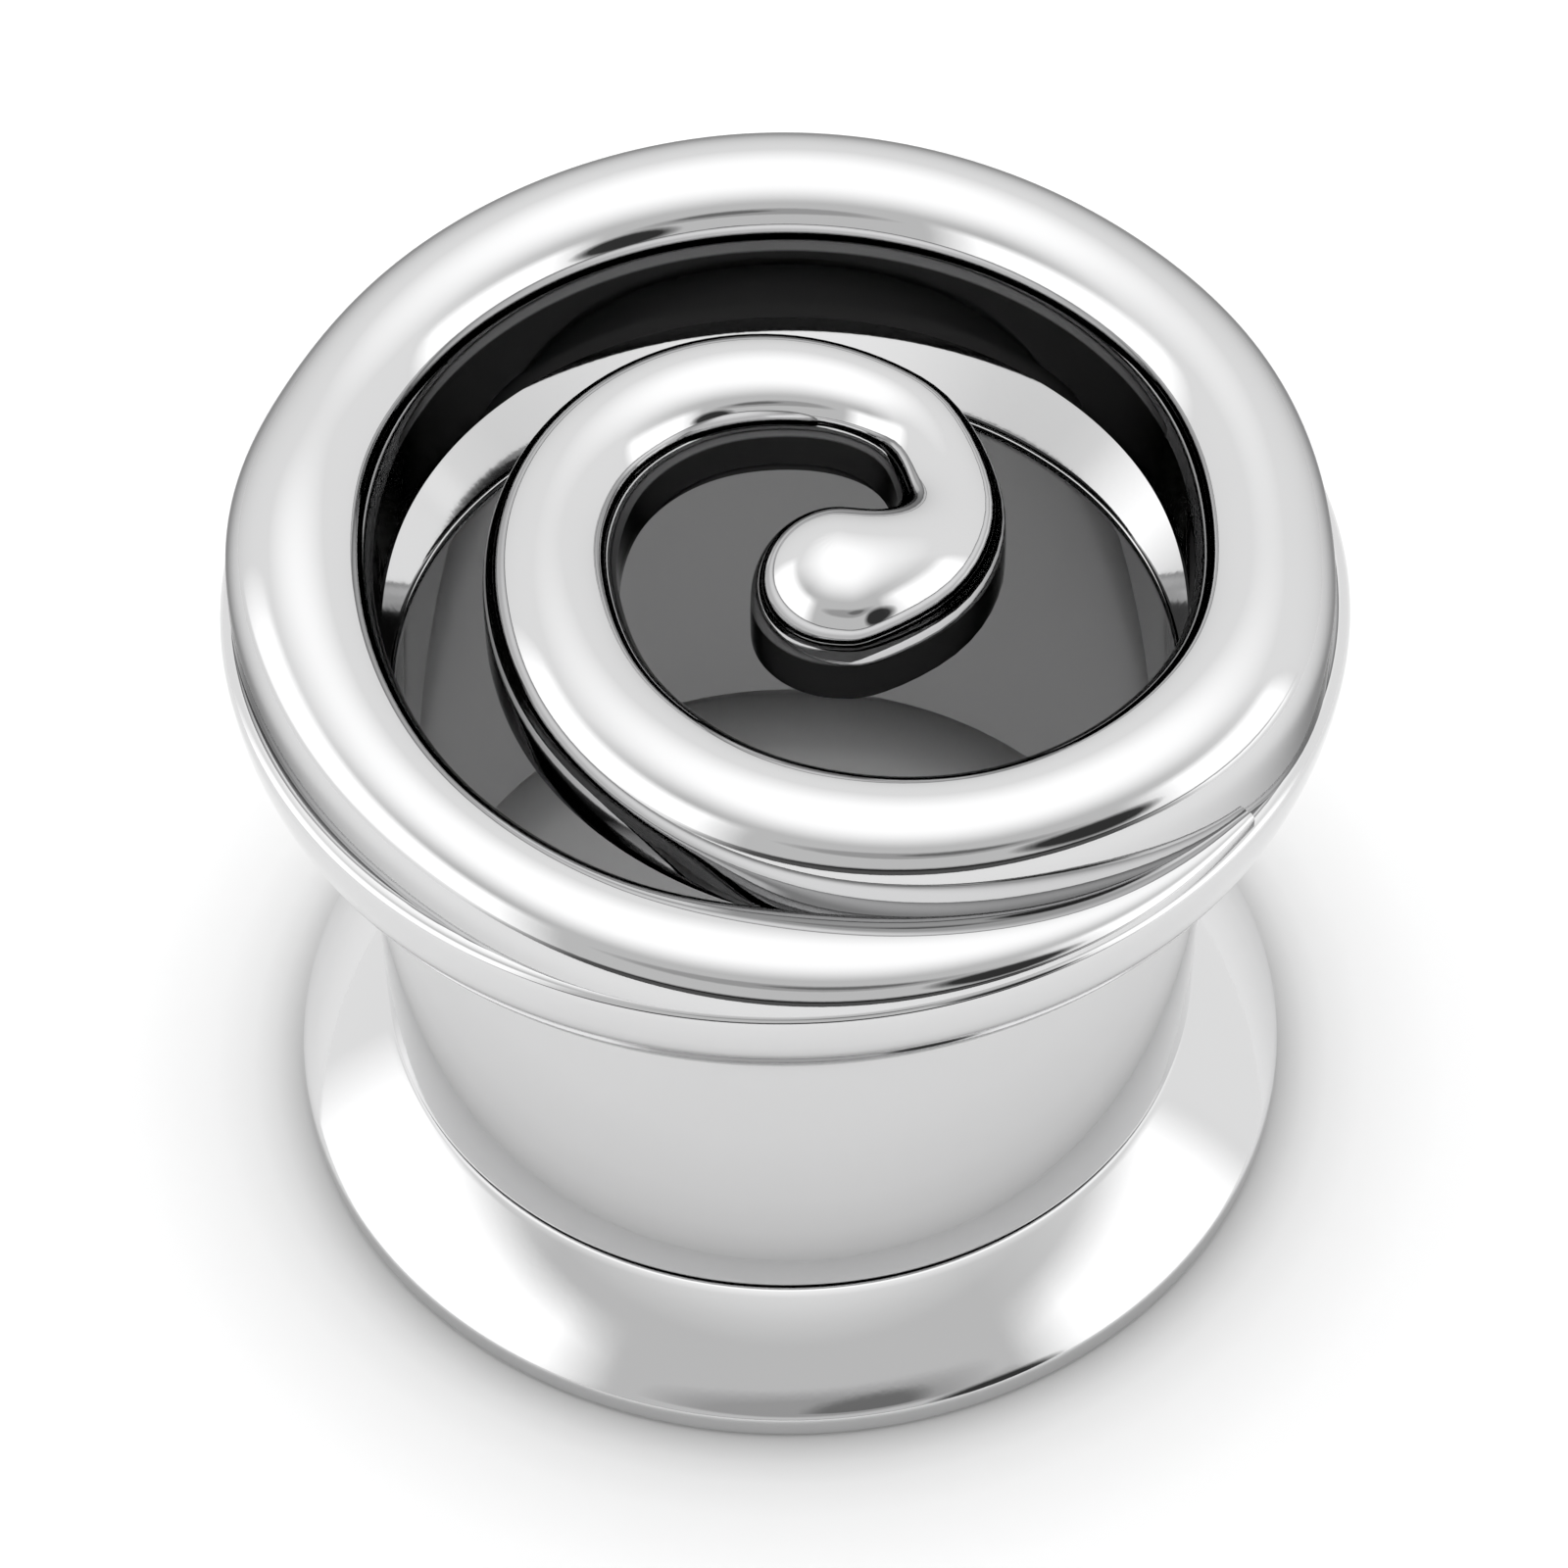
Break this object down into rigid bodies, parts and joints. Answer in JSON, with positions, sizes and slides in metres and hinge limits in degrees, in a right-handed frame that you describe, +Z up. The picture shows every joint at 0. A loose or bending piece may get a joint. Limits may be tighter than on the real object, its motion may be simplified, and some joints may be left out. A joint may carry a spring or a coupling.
{
  "type": "spiral ear tunnel",
  "caption": "Polished steel screw-fit ear tunnel with flared ends and a round-topped bar that winds over the front opening as a spiral.",
  "frame": {"origin": "centre of the back flare's foot, on the surface that the tunnel stands on", "axes": "+Z up along the tunnel's axis, from the back flare to the spiral; -Y towards the viewer of the picture, +X to the viewer's right"},
  "size_m": [0.0162, 0.0162, 0.0126],
  "materials": {
    "polished_steel": "mirror polished"
  },
  "bodies": {
    "back": {"back_flare": "polished_steel"},
    "front": {"spiral_front": "polished_steel"}
  },
  "joints": [
    {"name": "front_lift", "type": "slide", "parent": "back", "child": "front", "axis": [0, 0, 1], "range_m": [0, 0.014]}
  ]
}
